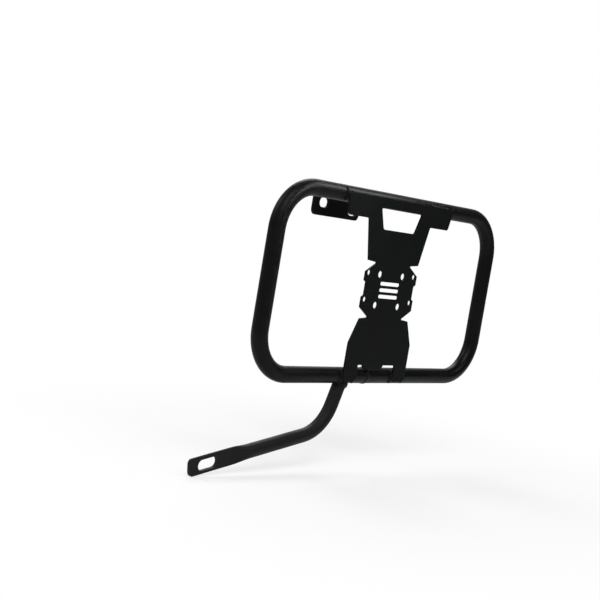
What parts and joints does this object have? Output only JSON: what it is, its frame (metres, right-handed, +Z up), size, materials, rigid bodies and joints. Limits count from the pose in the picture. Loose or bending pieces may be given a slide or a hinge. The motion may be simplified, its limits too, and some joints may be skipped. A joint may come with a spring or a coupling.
{
  "type": "pannier frame",
  "caption": "Left-hand motorcycle pannier frame: bent tube hoop, welded laser-cut mounting plate, folded upper bracket and a bent lower arm with a flat slotted end.",
  "frame": {"origin": "middle of the four inner plate bolts, on the plate's outer face", "axes": "+X rearwards along the motorcycle, +Y in towards the motorcycle, +Z up"},
  "size_m": [0.4827, 0.0629, 0.3265],
  "materials": {
    "tube_coat": "semi-gloss black powder coat",
    "plate_coat": "satin black powder coat",
    "weld_coat": "semi-gloss black powder coat over weld"
  },
  "bodies": {
    "root": {"hoop_tube": "tube_coat", "hoop_butt_weld": "weld_coat", "centre_plate": "plate_coat", "wing_welds": "weld_coat", "leg_welds": "weld_coat", "upper_bracket": "plate_coat", "bracket_welds": "weld_coat", "lower_arm": "tube_coat", "arm_weld": "weld_coat"}
  },
  "joints": []
}
